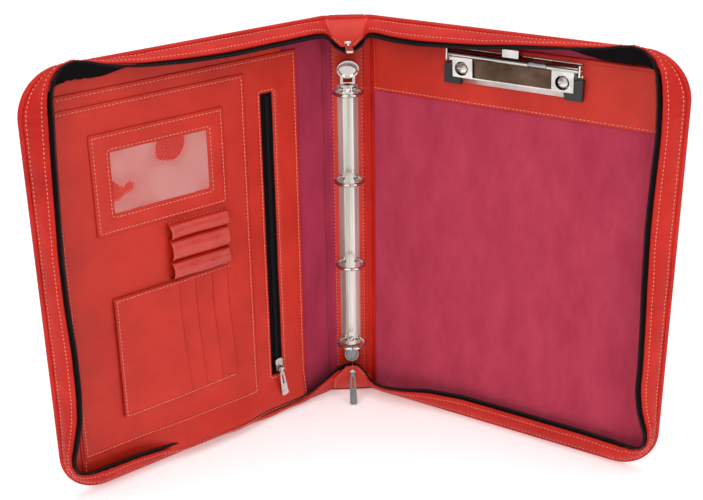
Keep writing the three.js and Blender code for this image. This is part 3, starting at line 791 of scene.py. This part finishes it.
def slotted_panel():
    """The organiser's base panel, cut round the inner zip, as two joined grids of strips."""
    low_u, high_u, low_z, high_z = ORGANISER_BOX
    slot_u0, slot_u1, slot_z0, slot_z1 = ZIP_SLOT
    near_rows = [0, 0.12, 0.4, 0.8, 1.3, 2.2, 2.7, 3.2, 3.8, 5, 8, 13, 20]
    u = [low_u + x for x in near_rows] + [slot_u0 - x for x in (3, 2.2, 1.5, 0.7, 0.25, 0)]
    u += [slot_u1 + x for x in (0, 0.25, 0.7, 1.5, 2.2, 3, 5, 9)]
    u += list(np.arange(84, high_u - 16, 5.5))
    u += [high_u - x for x in (15, 11, 8, 6, 4, 3.2, 2.7, 2.2, 1.3, 0.8, 0.4, 0.12, 0)]
    z = [low_z + x for x in near_rows[:-1]] + [slot_z0 - x for x in (12, 6, 3, 1.5, 0.7, 0.25, 0)]
    z += list(np.arange(slot_z0 + 5, slot_z1 - 3, 5.5))
    z += [slot_z1 + x for x in (0, 0.25, 0.7, 1.5, 3, 6, 10)]
    z += [high_z - x for x in (18, 13, 9, 6, 4.4, 3.8, 3.2, 2.7, 2.2, 1.3, 0.8, 0.4, 0.12, 0)]
    u, z = np.array(sorted(set(u))), np.array(sorted(set(z)))
    grid_u, grid_z = np.meshgrid(u, z, indexing="ij")
    in_slot = ((grid_u > slot_u0) & (grid_u < slot_u1) & (grid_z > slot_z0) & (grid_z < slot_z1))
    far_out = np.maximum(grid_u - (high_u - PANEL_CORNER), 0)
    centre_z = np.clip(grid_z, low_z + PANEL_CORNER, high_z - PANEL_CORNER)
    off_z = grid_z - centre_z
    reach = np.hypot(far_out, off_z)
    pull_in = np.where((far_out > 0) & (np.abs(off_z) > 0),
                       np.maximum(far_out, np.abs(off_z)) / np.maximum(reach, 1e-6), 1.0)
    grid_u = np.where(pull_in < 1, (high_u - PANEL_CORNER) + far_out * pull_in, grid_u)
    grid_z = np.where(pull_in < 1, centre_z + off_z * pull_in, grid_z)
    square = np.maximum(far_out, np.abs(off_z))
    e = np.minimum(np.minimum(grid_u - low_u, high_u - u[:, None] * np.ones_like(grid_u)),
                   np.minimum(z[None, :] - low_z, high_z - z[None, :]) * np.ones_like(grid_u))
    e = np.where(pull_in < 1, PANEL_CORNER - square, e)
    to_slot = np.maximum(np.maximum(slot_u0 - grid_u, grid_u - slot_u1),
                         np.maximum(slot_z0 - grid_z, grid_z - slot_z1))
    rim = np.minimum(e, np.maximum(to_slot, 0))
    d = PANEL_A + turned_edge(rim, PANEL_EDGE)
    d += 0.3 * smooth(e, 0, 3.2) - seam_dip(e, 3.2) - seam_dip(to_slot, 2.2, 0.35, 0.5)
    d += organiser_swell(grid_u, grid_z) * smooth(e, -2, 6)
    points = place("left", grid_u, d, grid_z).reshape(-1, 3)
    columns = len(z)
    faces = []
    middle_u, middle_z = (u[:-1] + u[1:]) / 2, (z[:-1] + z[1:]) / 2
    in_u = (middle_u >= slot_u0) & (middle_u <= slot_u1)
    in_z = (middle_z >= slot_z0) & (middle_z <= slot_z1)
    for i in range(len(u) - 1):
        for j in range(columns - 1):
            if not (in_u[i] and in_z[j]) and not in_slot[i:i + 2, j:j + 2].any():
                faces.append((i * columns + j, (i + 1) * columns + j,
                              (i + 1) * columns + j + 1, i * columns + j + 1))
    return mesh_object("organiser_leather", points, faces, RED_PANEL)


def organiser_swell(u, z):
    """The loose leaf bellies out at its foot, over the collapsed end of the gusset."""
    foot = smooth(-z, -45, -5) * smooth(u, 26, 38) * (1 - smooth(u, 160, 215))
    return (5.0 + 7.0 * smooth(u, 75, 115)) * foot + 0.35 * ripple(u, z, 31) * smooth(z, 8, 40)


def organiser_backing():
    """The leather sheet behind the organiser: it covers the lining all but beside the spine."""
    backing = panel("organiser_backing", "left", BACKING_BOX, LINING + 0.6,
                    RED_PANEL, thick=0.7, near=1.2, far=34, stitch=4.0, puff=0.05,
                    shape=lambda u, z: 0.2 * ripple(u, z, 35) - 0.1)
    finish_piece(backing, LEFT)


def organiser():
    organiser_backing()
    base = slotted_panel()
    finish_piece(base, LEFT, ("organiser_panel",))
    outline = rounded_outline(*ORGANISER_BOX, 1.2, PANEL_CORNER, 3.2)
    line = [(u, PANEL_A + 0.1 + float(organiser_swell(u, z)), z) for u, z in outline]
    slot = rounded_outline(*ZIP_SLOT, 0.5, 0.5, -2.2)
    slot_line = [(u, PANEL_A + 0.15 + float(organiser_swell(u, z)), z) for u, z in slot]
    stitches("organiser_stitches", "left", [(line, True), (slot_line, True)], LEFT)

    pocket = panel("pocket_leather", "left", POCKET_BOX, PANEL_B, RED_PANEL, shape=pocket_swell)
    finish_piece(pocket, LEFT, ("pocket_panel",))
    rim = [(u, PANEL_B + 0.1 + float(pocket_swell(u, z)), z)
           for u, z in rounded_outline(*POCKET_BOX, 1.2, 1.2, 3.0)]
    stitches("pocket_stitches", "left", [(rim, True)], LEFT)


def pocket_swell(u, z):
    crease = bump((z - 62) - (u - 111) * 0.2, 0, 2.2) * smooth(u, 108, 122) * (
        1 - smooth(u, 190, 204))
    return organiser_swell(u, z) + 0.3 * ripple(u, z, 41) - 0.5 * crease


def id_pocket():
    """The stitched frame of the ID pocket, a ring of leather round its window."""
    outer, hole = ID_FRAME, ID_HOLE
    rows = []
    steps = [0, 0.12, 0.4, 0.9, 1.6, 2.3, 2.8, 3.4, 4.4, 6, 8, 10]
    for e in steps:
        rows.append((rounded_outline(*outer, 1.5, 1.5, e), e, 99.0))
    for e in [4.4, 3.4, 2.8, 2.3, 1.6, 0.9, 0.4, 0.12, 0]:
        grown = (hole[0] - e, hole[1] + e, hole[2] - e, hole[3] + e)
        loop = rounded_outline(*outer, 1.5, 1.5, 0)
        t_u = (loop[:, 0] - outer[0]) / (outer[1] - outer[0])
        t_z = (loop[:, 1] - outer[2]) / (outer[3] - outer[2])
        inner = np.stack([grown[0] + t_u * (grown[1] - grown[0]),
                          grown[2] + t_z * (grown[3] - grown[2])], 1)
        rows.append((inner, 99.0, e))
    u = np.array([r[0][:, 0] for r in rows])
    z = np.array([r[0][:, 1] for r in rows])
    e_out = np.array([[r[1]] for r in rows]) * np.ones_like(u)
    e_in = np.array([[r[2]] for r in rows]) * np.ones_like(u)
    rim = np.minimum(e_out, e_in)
    base = PANEL_B + 1.9
    d = base + turned_edge(rim, PANEL_EDGE)
    d += 0.35 * smooth(rim, 0, 2.8) - seam_dip(e_out, 2.8, 0.4) - seam_dip(e_in, 2.8, 0.4)
    d += pocket_swell(u, z) + 0.2 * ripple(u, z, 51)
    u, z = np.vstack([u[:1], u, u[-1:]]), np.vstack([z[:1], z, z[-1:]])
    d = np.vstack([d[:1] - 1.0, d, d[-1:] - 1.0])
    points = place("left", u, d, z).reshape(-1, 3)
    obj = mesh_object("id_frame_leather", points, grid_faces(len(u), u.shape[1], True), RED_PANEL)
    finish_piece(obj, LEFT, ("id_frame",))
    lines = [(on_face(rounded_outline(*outer, 1.5, 1.5, 2.8), base + 0.2), True),
             (on_face(rounded_outline(*hole, 0.5, 0.5, -2.8), base + 0.2), True)]
    stitches("id_frame_stitches", "left", lines, LEFT)
    clear_window(hole)


def clear_window(hole):
    """Soft clear film, cockled as it is after some use."""
    u = np.linspace(hole[0] - 4, hole[1] + 4, 60)
    z = np.linspace(hole[2] - 4, hole[3] + 4, 40)
    grid_u, grid_z = np.meshgrid(u, z, indexing="ij")
    folds = 0.45 * np.sin((grid_u - 0.6 * grid_z) * 0.13) + 0.3 * np.sin(
        (grid_u * 0.5 + grid_z) * 0.21 + 1.2 * np.sin(grid_u * 0.08))
    d = PANEL_B + 0.75 + 0.35 * folds
    obj = grid_object("id_window_film", place("left", grid_u, d, grid_z), FILM)
    finish_piece(obj, LEFT, ("id_window",))


def pen_loops():
    """One strip of leather, sewn down between three tubes."""
    near, far = LOOP_REACH
    for n, (low, high) in enumerate(zip(LOOP_SEAMS, LOOP_SEAMS[1:]), 1):
        low, high = low + 0.2, high - 0.2
        middle, half = (low + high) / 2, (high - low) / 2
        angles = np.linspace(-math.pi / 2, math.pi / 2, 25)
        u = np.concatenate([[near, near + 0.15, near + 0.5], np.linspace(near + 2, far - 2, 20),
                            [far - 0.5, far - 0.15, far]])
        rows = []
        for skin in (0.0, 0.9):
            loop_z = middle + (half - skin * 0.6) * np.sin(angles)
            loop_d = (LOOP_RISE - skin) * np.cos(angles) ** 0.8
            rows.append((loop_d, loop_z))
        points = []
        for k, (loop_d, loop_z) in enumerate(rows):
            edge = 0.35 * (bump(u, near, 0.3) + bump(u, far, 0.3)) * (1 if k == 0 else -1)
            sag = 0.9 * np.sin((u - near) / (far - near) * math.pi) + 0.25 * np.sin(u * 0.31 + n)
            grid_d = PANEL_B + 0.5 + loop_d[None, :] * (1 - 0.06 * sag[:, None]) - edge[:, None]
            grid_z = loop_z[None, :] + 0.5 * np.sin(u * 0.12 + n)[:, None] * np.cos(angles)[None, :]
            grid_u = u[:, None] * np.ones_like(grid_z)
            points.append(place("left", grid_u, grid_d, grid_z))
        rows_u, columns = points[0].shape[:2]
        faces = grid_faces(rows_u, columns)
        inner = flipped(grid_faces(rows_u, columns, start=rows_u * columns))
        around = [(i, 0) for i in range(rows_u)] + [(rows_u - 1, j) for j in range(1, columns)]
        around += [(i, columns - 1) for i in range(rows_u - 2, -1, -1)]
        around += [(0, j) for j in range(columns - 2, 0, -1)]
        edge_ids = [i * columns + j for i, j in around]
        inner_start = rows_u * columns
        rim = [(b, a, a + inner_start, b + inner_start)
               for a, b in zip(edge_ids, edge_ids[1:] + edge_ids[:1])]
        obj = mesh_object(f"pen_loop_leather_{n}", np.concatenate(points), faces + inner + rim,
                          RED_GLOSSY)
        finish_piece(obj, LEFT, (f"pen_loop_{n}",))
    seams = [([(u, PANEL_B + 0.9, z) for u in (near + 1, far - 1)], False) for z in LOOP_SEAMS]
    stitches("pen_loop_stitches", "left", seams, LEFT, length=1.8)


def card_pockets():
    """Four stepped pockets: their free edges bow towards the spine at the foot."""
    low, high, far = CARD_AREA
    for n, edge in enumerate(CARD_EDGES):
        z = np.concatenate([[low, low + 0.5, low + 1.2], np.linspace(low + 4, high - 4, 26),
                            [high - 1.2, high - 0.5, high]])
        across = np.concatenate([[0, 0.002, 0.006, 0.012, 0.02], np.linspace(0.05, 1, 22)])
        bow = -5.0 * smooth(-z, -high, -low) ** 1.5 + 1.2 * np.sin((z - low) / (high - low) * math.pi)
        start = edge + bow
        grid_u = start[:, None] + across[None, :] * (far - start)[:, None]
        grid_z = z[:, None] * np.ones_like(grid_u)
        e = grid_u - start[:, None]
        d = PANEL_B + 0.75 + n * 0.85 - 0.75 * np.clip(1 - e / 0.9, 0, 1) ** 2
        gape = np.sin((grid_z - low) / (high - low) * math.pi) * np.exp(-e / 9.0)
        d = d + 0.9 * gape + 0.22 * ripple(grid_u, grid_z, 61 + n) + pocket_swell(grid_u, grid_z)
        d = d - 0.5 * bump(grid_z, low, 1.0) - 0.5 * bump(grid_z, high, 1.0)
        points = place("left", grid_u.T, d.T, grid_z.T)
        obj = grid_object(f"card_pocket_leather_{n + 1}", points, RED_PANEL)
        finish_piece(obj, LEFT, (f"card_pocket_{n + 1}",))
    top = PANEL_B + 3.8
    rim = [(110, PANEL_B + 1.2, high - 1.5), (166, top, high - 1.5), (far - 2, top, high - 1.5),
           (far - 2, top, low + 1.5), (166, top, low + 1.5), (110, PANEL_B + 1.2, low + 1.5)]
    rim = [(u, d + float(pocket_swell(u, z)), z) for u, d, z in rim]
    stitches("card_pocket_stitches", "left", [(rim, False)], LEFT)


def inner_zip():
    """Tape and closed coil of the organiser's own zip."""
    low_u, high_u, low_z, high_z = ZIP_SLOT
    u = np.linspace(low_u + 0.4, high_u - 0.4, 14)
    z = np.linspace(low_z + 0.4, high_z - 0.4, 90)
    grid_u, grid_z = np.meshgrid(u, z, indexing="ij")
    middle = (low_u + high_u) / 2
    d = PANEL_A - 0.55 + organiser_swell(grid_u, grid_z) + 0.3 * bump(grid_u, middle, 2.0)
    tape = grid_object("inner_tape", place("left", grid_u, d, grid_z), TAPE)
    finish_piece(tape, LEFT, ("inner_zip_tape",))
    heights = np.arange(low_z + 3, high_z - 2, 1.6)
    layers = [(-0.6, 0.6), (-0.3, 1.0), (0.3, 1.0), (0.6, 0.6)]
    sides = 8
    points, faces = [], []
    for at in heights:
        for side_way in (-1, 1):
            start = len(points)
            shift = 0.4 * side_way
            base = PANEL_A - 0.1 + float(organiser_swell(middle, at))
            for along, size in layers:
                for a in np.linspace(0, 2 * math.pi, sides, endpoint=False):
                    points.append(place("left", middle + side_way * 0.85 + math.cos(a) * 1.0 * size,
                                        base + math.sin(a) * 0.8 * size, at + shift + along))
            faces += flipped(grid_faces(len(layers), sides, True, start)
                             + end_caps(len(layers), sides, start))
    obj = mesh_object("inner_coil", points, faces, TEETH)
    finish_piece(obj, LEFT, ("inner_zip_teeth",))


# ---------- the right cover's band ----------

BAND_BOX = (5.0, 266.0, 296.0, 347.0)
CLIP_FACE = (103.0, 172.0, 321.0, 337.2)
JAW_FOOT = 320.0           # height at which the jaw's sloping face begins
JAW_DEPTH = 9.55           # its depth there
JAW_SLOPE = 1.3 / 18


def top_band():
    band = panel("top_band_leather", "right", BAND_BOX, PANEL_A, RED_PANEL, stitch=2.6,
                 shape=lambda u, z: 0.25 * ripple(u, z, 71))
    finish_piece(band, "right_cover", ("right_top_band",))
    low = [(u, PANEL_A + 0.1, BAND_BOX[2] + 2.6) for u in np.arange(6.0, 264.0, 4.0)]
    stitches("top_band_stitches", "right", [(low, False)], "right_cover")


def clip_face():
    """The polished plate on the front of the clip's jaw, its dark reflection painted into its colour.
    """
    near_u, far_u, low_z, high_z = CLIP_FACE
    u = np.linspace(near_u, far_u, 40)
    z = np.linspace(low_z, high_z, 12)
    grid_u, grid_z = np.meshgrid(u, z, indexing="ij")
    d = JAW_DEPTH + JAW_SLOPE * (grid_z - JAW_FOOT) + 0.25
    e = np.minimum(np.minimum(grid_u - near_u, far_u - grid_u),
                   np.minimum(grid_z - low_z, high_z - grid_z))
    d = d - 0.3 * np.clip(1 - e / 0.8, 0, 1) ** 2
    obj = grid_object("clip_face_plate", place("right", grid_u, d, grid_z), CHROME_PAINTED_DARK_REFLECTION, "right")
    finish_piece(obj, "clip_jaw")


# ---------- spine ----------

def strip_columns(half, rim, middle):
    """Places across a strip of the given half width, closer together at both of its rims."""
    rim = np.array(rim)
    return np.concatenate([-half + rim, middle, half - rim[::-1]])


def spine_inner():
    """The stitched strip inside the spine, with the two folds beside it."""
    width = HINGE_X - 4.2
    x = strip_columns(width, [0, 0.12, 0.4, 0.9, 1.5, 2.2, 2.8, 3.4],
                      np.linspace(-width + 5, width - 5, 9))
    z = np.linspace(2, HEIGHT - 2, 90)
    grid_x, grid_z = np.meshgrid(x, z, indexing="ij")
    e = width - np.abs(grid_x)
    d = 2.2 + turned_edge(e, 1.0) - seam_dip(e, 2.8, 0.35, 0.5)
    d += 0.12 * ripple(grid_x * 3, grid_z, 81)
    points = np.stack([grid_x, -d, grid_z], -1) * MM
    obj = mesh_object("spine_inner_leather", points, flipped(grid_faces(*grid_x.shape)), RED_PANEL)
    finish_piece(obj, "spine", ("spine_lining",))
    fix_normals(obj, Vector((0, -1, 0)))
    for side in SIDES:
        s = SPINE_MIDDLE + width - 2.8
        line = [(s, 2.05, h) for h in np.arange(20, HEIGHT - 16, 4.0)]
        stitches(f"spine_stitches_{side}", side, [(line, False)], "spine", length=1.9)
        hinge_strip(side)


def spine_outer():
    """The spine's own panel of leather, seen from behind."""
    outer = 14.6
    x = strip_columns(outer, [0, 0.15, 0.5, 1.0, 1.8, 2.6, 3.2, 4], np.linspace(-9, 9, 7))
    z = np.linspace(0.3, HEIGHT - 0.3, 80)
    grid_x, grid_z = np.meshgrid(x, z, indexing="ij")
    e = outer - np.abs(grid_x)
    y = 4.3 + turned_edge(e, 0.9) - seam_dip(e, 2.9, 0.35, 0.5)
    y += 0.12 * ripple(grid_x * 2, grid_z, 91) + 0.3 * (1 - (grid_x / outer) ** 2)
    points = np.stack([grid_x, y, grid_z], -1) * MM
    obj = mesh_object("spine_outer_leather", points, grid_faces(*grid_x.shape), RED)
    finish_piece(obj, "spine", ("spine_leather",))
    fix_normals(obj, Vector((0, 1, 0)))
    for side in SIDES:
        line = [(SPINE_MIDDLE + outer - 2.9, -4.3, h) for h in np.arange(8, HEIGHT - 8, 4.0)]
        stitches(f"spine_back_stitches_{side}", side, [(line, False)], "spine", length=1.9,
                 lift=0.05)


def fix_normals(obj, way):
    """Turn the faces of an open sheet so that most of them look the given way."""
    total = sum((p.normal * p.area for p in obj.data.polygons), Vector())
    if total.dot(way) < 0:
        obj.data.flip_normals()


def hinge_strip(side):
    """The narrow inner fold of leather between the spine's strip and the lining."""
    s = np.linspace(-7.5, 4.0 if side == "left" else 6.0, 18)
    z = np.linspace(4, HEIGHT - 4, 80)
    grid_s, grid_z = np.meshgrid(s, z, indexing="ij")
    dip = 1.1 if side == "left" else 0.5
    d = 3.1 - dip * bump(grid_s, 0.4, 1.6) + 0.4 * bump(grid_s, -3.6, 1.8)
    d = d - 1.2 * bump(grid_s, -7.6, 1.0)
    d += 0.12 * np.sin(grid_z * 0.21 + np.sin(grid_z * 0.07) * 2) * bump(grid_s, 0, 3)
    # The left fold is suede darkened by painted shade; the right one is red leather.
    obj = grid_object(f"{side}_hinge_fold", place(side, grid_s, d, grid_z),
                      RED if side == "right" else SUEDE_PAINTED_SHADE, side)
    finish_piece(obj, None, blended=hinge_blend(side))


FLAPS = {
    # how far the flap comes forward, its height at the tip, and where it begins to narrow
    "top": {"reach": 18.0, "tip": 338.2, "shoulder": 0.58},
    "bottom": {"reach": 18.0, "tip": 33.5, "shoulder": 0.66},
}
FLAP_HALF = (18.3, 5.6)     # half width at the end of the spine and at the tip


def end_flap(end):
    """The stitched flap that closes an end of the spine, with a beaded edge."""
    size = FLAPS[end]
    up, edge_z = (1, HEIGHT) if end == "top" else (-1, 0.0)
    wide, narrow = FLAP_HALF
    rows, columns = 40, 41
    t = np.concatenate([[0, 0.01, 0.03, 0.06], np.linspace(0.1, 0.97, rows - 6), [0.99, 1.0]])
    taper = np.clip((t - size["shoulder"]) / (1 - size["shoulder"]), 0, 1)
    half = wide - (wide - narrow) * averaged(taper, 6)
    half = half * np.sqrt(1 - 0.05 * np.clip(1 - t / 0.1, 0, 1) ** 2)
    w = np.sin(np.linspace(-1, 1, columns) * math.pi / 2)
    grid_x = half[:, None] * w[None, :]
    column_t = t[:, None] * np.ones_like(grid_x)
    depth = -1.0 + (size["reach"] + 1.0) * (1 - (1 - column_t) ** 2)
    fall = abs(edge_z - size["tip"]) - 1.0
    z = edge_z - up * (1.0 + fall * column_t ** 1.25)
    e = np.minimum((1 - np.abs(w[None, :])) * half[:, None], 22 * column_t)
    e = np.minimum(e, 22 * (1 - column_t))
    lift = 0.9 * np.sqrt(1 - np.clip(1 - e / 0.9, 0, 1) ** 2) - seam_dip(e, 2.3, 0.4, 0.5)
    lift += 0.5 * smooth(e, 2.4, 7)
    points = np.stack([grid_x, -(depth + 0.6 * lift), z + up * (0.8 * lift - 0.9)], -1) * MM
    obj = mesh_object(f"spine_end_flap_{end}", points, grid_faces(*grid_x.shape), RED_PANEL)
    fix_normals(obj, Vector((0, -0.5, up)))
    finish_piece(obj, "spine", (f"spine_end_{end}",))
    for side in SIDES:
        line = list(zip(SPINE_MIDDLE + half - 2.3, depth[:, 0] + 0.5, z[:, 0] - up * 0.2))[5:-3]
        stitches(f"flap_stitches_{end}_{side}", side, [(line, False)], "spine", length=1.5,
                 thick=0.36, lift=0.3, pitch=2.6)


# ---------- ring mechanism ----------

def rings():
    wire, radius, root_x, root_y = 1.5, 12.0, 6.0, -4.6
    root = math.asin(root_x / radius)
    centre = root_y - radius * math.cos(root)
    for side, way in SIDES.items():
        for n, z in enumerate(RING_HEIGHTS, 1):
            angle = np.linspace(root, math.pi - 0.012, 40)
            x = way * radius * np.sin(angle)
            y = centre + radius * np.cos(angle)
            path = np.stack([x, y, np.full_like(x, z)], 1) * MM
            tube(f"ring_wire_{n}_{side}", path, wire, f"rings_{side}", (f"ring_{n}_{side}",))


# ---------- camera, floor and light ----------

IMAGE = (703, 500)
CAMERA = {"place": (-52.6, -1028.1, 582.4), "yaw": -3.02, "pitch": 23.04, "roll": -0.83,
          "focal": 1225.0}


def camera():
    yaw, pitch, roll = (math.radians(CAMERA[k]) for k in ("yaw", "pitch", "roll"))
    forward = Vector((-math.sin(yaw) * math.cos(pitch), math.cos(yaw) * math.cos(pitch),
                      -math.sin(pitch)))
    right = Vector((math.cos(yaw), math.sin(yaw), 0))
    up = right.cross(forward)
    turned_right = right * math.cos(roll) + up * math.sin(roll)
    turned_up = up * math.cos(roll) - right * math.sin(roll)
    data = bpy.data.cameras.new("camera")
    data.sensor_width = 36.0
    data.lens = CAMERA["focal"] / IMAGE[0] * data.sensor_width
    data.clip_start, data.clip_end = 0.01, 20
    obj = in_scene("camera", data)
    basis = Matrix((turned_right, turned_up, -forward)).transposed()
    obj.matrix_world = Matrix.Translation(Vector(CAMERA["place"]) * MM) @ basis.to_4x4()
    bpy.context.scene.camera = obj


def floor():
    mesh = bpy.data.meshes.new("floor")
    size = 6.0
    mesh.from_pydata([(-size, -size, 0), (size, -size, 0), (size, size, 0), (-size, size, 0)], [],
                     [(0, 1, 2, 3)])
    material, _, shader = new_material("floor_white")
    set_inputs(shader, {"Base Color": (*grey(0.93), 1), "Roughness": 0.9,
                        "Specular IOR Level": 0.1, "Emission Color": (1, 1, 1, 1),
                        "Emission Strength": 0.25})
    mesh.materials.append(material)
    obj = in_scene("floor", mesh)
    obj.location.z = -0.0005


def area_light(name, place_m, target, size, power):
    data = bpy.data.lights.new(name, "AREA")
    data.shape = "RECTANGLE"
    data.size, data.size_y = size
    data.energy = power
    obj = in_scene(name, data)
    obj.location = place_m
    way = Vector(target) - Vector(place_m)
    obj.rotation_euler = way.to_track_quat("-Z", "Y").to_euler()


def lights():
    """A bright ceiling over a darker room, so that the metal has something to reflect."""
    world = bpy.data.worlds.new("studio")
    world.use_nodes = True
    tree = world.node_tree
    background = tree.nodes["Background"]
    coordinates = tree.nodes.new("ShaderNodeTexCoord")
    split = tree.nodes.new("ShaderNodeSeparateXYZ")
    tree.links.new(coordinates.outputs["Generated"], split.inputs["Vector"])
    shade = ramp(tree, split.outputs["Z"], [(0.0, grey(0.35)), (0.16, grey(0.12)),
                                            (0.34, grey(0.5)), (0.6, grey(1.0))])
    tree.links.new(shade, background.inputs["Color"])
    background.inputs["Strength"].default_value = 0.9
    bpy.context.scene.world = world
    target = (0, -0.05, 0.18)
    area_light("key", (-0.9, -1.5, 1.3), target, (1.0, 0.8), 10)
    area_light("fill", (1.2, -1.4, 0.9), target, (0.8, 0.9), 7)
    area_light("top", (0.0, -0.1, 1.8), target, (1.8, 1.2), 10)


# ---------- assembly ----------

camera()
floor()
lights()
finish_cad()
for side in SIDES:
    wall = Wall(side)
    cover_skin(side)
    edge_binding(side)
    lining(side)
    gusset(side, wall)
    zip_half(side, wall)
organiser()
id_pocket()
pen_loops()
card_pockets()
inner_zip()
top_band()
clip_face()
spine_inner()
spine_outer()
end_flap("top")
end_flap("bottom")
rings()

bpy.context.scene.view_settings.view_transform = "Standard"
